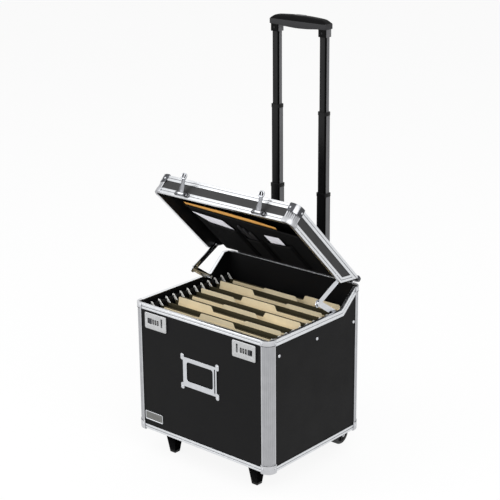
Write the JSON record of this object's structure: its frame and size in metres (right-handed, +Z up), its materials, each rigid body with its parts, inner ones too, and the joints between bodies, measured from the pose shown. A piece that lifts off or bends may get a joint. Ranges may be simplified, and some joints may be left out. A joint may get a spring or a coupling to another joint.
{
  "type": "rolling file case",
  "caption": "Black rolling file case with bright edges, an opened hinged lid on stays, combination locks, hung folders, rear wheels and a telescopic pull handle.",
  "frame": {"origin": "on the floor, under the middle of the overall width and depth", "axes": "+X to the right when facing the front, +Y to the back, +Z up"},
  "size_m": [0.4344, 0.3964, 1.0658],
  "materials": {
    "black_panel": "black vinyl over board, satin",
    "bright_strip": "polished extrusion",
    "corner_post": "ribbed extrusion, satin",
    "bright_cap": "polished",
    "lock_metal": "satin plated",
    "dial_black": "gloss",
    "label_metal": "polished",
    "steel": "brushed",
    "stay_metal": "bright plated",
    "foot_plastic": "matte",
    "hub_plastic": "matte",
    "tyre_rubber": "matte",
    "black_tube": "black anodised",
    "grip_plastic": "fine texture",
    "button_plastic": "satin",
    "folder_green": "matte card",
    "rod_white": "satin",
    "manila": "matte card",
    "organiser_cloth": "woven",
    "rail_metal": "black anodised"
  },
  "bodies": {
    "case": {"front_panel": "black_panel", "back_panel": "black_panel", "left_panel": "black_panel", "right_panel": "black_panel", "bottom_panel": "black_panel", "case_rims": "bright_strip", "bottom_edges": "bright_strip", "corner_posts": "corner_post", "case_corner_caps": "bright_cap", "case_rivets": "bright_cap", "left_lock_plate": "lock_metal", "right_lock_plate": "lock_metal", "label_holder": "label_metal", "name_plate": "bright_cap", "front_feet": "foot_plastic", "wheel_brackets": "steel", "file_rails": "rail_metal", "handle_base_tubes": "black_tube", "handle_clamps": "foot_plastic", "case_hinge_leaf": "steel", "case_stay_brackets": "stay_metal"},
    "lid": {"lid_top_panel": "black_panel", "lid_front_panel": "black_panel", "lid_side_panels": "black_panel", "lid_top_edges": "bright_strip", "lid_rims": "bright_strip", "lid_corner_posts": "corner_post", "lid_corner_caps": "bright_cap", "lid_rivets": "bright_cap", "lid_hinge_leaf": "steel", "hasp_bases": "lock_metal", "lid_stay_brackets": "stay_metal", "organiser_board": "organiser_cloth", "document_pocket": "organiser_cloth", "card_pockets": "organiser_cloth"},
    "left_hasp": {"left_hasp": "lock_metal"},
    "right_hasp": {"right_hasp": "lock_metal"},
    "stay_lower": {"stay_lower_links": "stay_metal"},
    "stay_upper": {"stay_upper_links": "stay_metal"},
    "handle_stage_1": {"handle_stage_1_tubes": "black_tube"},
    "handle_stage_2": {"handle_stage_2_tubes": "black_tube"},
    "handle_stage_3": {"handle_stage_3_tubes": "black_tube", "grip": "grip_plastic"},
    "grip_button": {"grip_button": "button_plastic"},
    "left_wheel": {"left_wheel_hub": "hub_plastic", "left_wheel_tyre": "tyre_rubber"},
    "right_wheel": {"right_wheel_hub": "hub_plastic", "right_wheel_tyre": "tyre_rubber"},
    "left_lock_slider": {"left_lock_slider": "lock_metal"},
    "right_lock_slider": {"right_lock_slider": "lock_metal"},
    "folders": {"hanging_folders": "folder_green", "folder_rods": "rod_white", "manila_folders": "manila"},
    "left_dial_1": {"left_dial_1": "dial_black"},
    "left_dial_2": {"left_dial_2": "dial_black"},
    "left_dial_3": {"left_dial_3": "dial_black"},
    "right_dial_1": {"right_dial_1": "dial_black"},
    "right_dial_2": {"right_dial_2": "dial_black"},
    "right_dial_3": {"right_dial_3": "dial_black"}
  },
  "joints": [
    {"name": "lid_hinge", "type": "hinge", "parent": "case", "child": "lid", "pos_m": [0, 0.15775, 0.44015], "axis": [-1, 0, 0], "range_deg": [-45.5, 20.5]},
    {"name": "stay_lower_pivot", "type": "hinge", "parent": "case", "child": "stay_lower", "pos_m": [0, 0.06705, 0.3884], "axis": [-1, 0, 0], "range_deg": [-37, 17]},
    {"name": "stay_upper_pivot", "type": "hinge", "parent": "lid", "child": "stay_upper", "pos_m": [0, 0.09076, 0.47344], "axis": [-1, 0, 0], "range_deg": [-24.5, 54]},
    {"name": "left_hasp_hinge", "type": "hinge", "parent": "lid", "child": "left_hasp", "pos_m": [-0.1205, -0.11862, 0.66839], "axis": [1, 0, 0], "range_deg": [-26, 154]},
    {"name": "right_hasp_hinge", "type": "hinge", "parent": "lid", "child": "right_hasp", "pos_m": [0.1205, -0.11862, 0.66839], "axis": [1, 0, 0], "range_deg": [-26, 154]},
    {"name": "handle_slide_1", "type": "slide", "parent": "case", "child": "handle_stage_1", "axis": [0, 0, 1], "range_m": [-0.1845, 0]},
    {"name": "handle_slide_2", "type": "slide", "parent": "handle_stage_1", "child": "handle_stage_2", "axis": [0, 0, 1], "range_m": [-0.1925, 0]},
    {"name": "handle_slide_3", "type": "slide", "parent": "handle_stage_2", "child": "handle_stage_3", "axis": [0, 0, 1], "range_m": [-0.1785, 0]},
    {"name": "grip_button_press", "type": "slide", "parent": "handle_stage_3", "child": "grip_button", "axis": [0, 0, -1], "range_m": [0, 0.0022], "stiffness_N_per_m": 600, "springref_m": -0.001},
    {"name": "left_wheel_spin", "type": "hinge", "parent": "case", "child": "left_wheel", "pos_m": [-0.149, 0.15375, 0.027], "axis": [1, 0, 0], "continuous": true},
    {"name": "right_wheel_spin", "type": "hinge", "parent": "case", "child": "right_wheel", "pos_m": [0.149, 0.15375, 0.027], "axis": [1, 0, 0], "continuous": true},
    {"name": "left_lock_slide", "type": "slide", "parent": "case", "child": "left_lock_slider", "axis": [-1, 0, 0], "range_m": [0, 0.004], "stiffness_N_per_m": 400, "springref_m": -0.001},
    {"name": "right_lock_slide", "type": "slide", "parent": "case", "child": "right_lock_slider", "axis": [1, 0, 0], "range_m": [0, 0.004], "stiffness_N_per_m": 400, "springref_m": -0.001},
    {"name": "left_dial_1_turn", "type": "hinge", "parent": "case", "child": "left_dial_1", "pos_m": [-0.1481, -0.19235, 0.358], "axis": [1, 0, 0], "continuous": true},
    {"name": "left_dial_2_turn", "type": "hinge", "parent": "case", "child": "left_dial_2", "pos_m": [-0.1405, -0.19235, 0.358], "axis": [1, 0, 0], "continuous": true},
    {"name": "left_dial_3_turn", "type": "hinge", "parent": "case", "child": "left_dial_3", "pos_m": [-0.1329, -0.19235, 0.358], "axis": [1, 0, 0], "continuous": true},
    {"name": "right_dial_1_turn", "type": "hinge", "parent": "case", "child": "right_dial_1", "pos_m": [0.1481, -0.19235, 0.358], "axis": [1, 0, 0], "continuous": true},
    {"name": "right_dial_2_turn", "type": "hinge", "parent": "case", "child": "right_dial_2", "pos_m": [0.1405, -0.19235, 0.358], "axis": [1, 0, 0], "continuous": true},
    {"name": "right_dial_3_turn", "type": "hinge", "parent": "case", "child": "right_dial_3", "pos_m": [0.1329, -0.19235, 0.358], "axis": [1, 0, 0], "continuous": true},
    {"name": "folder_slide", "type": "slide", "parent": "case", "child": "folders", "axis": [0, 1, 0], "range_m": [-0.024, 0.012]}
  ],
  "couplings": [
    {"joint": "stay_lower_pivot", "follows": "lid_hinge", "ratio": 0.811},
    {"joint": "stay_upper_pivot", "follows": "lid_hinge", "ratio": -1.176}
  ]
}
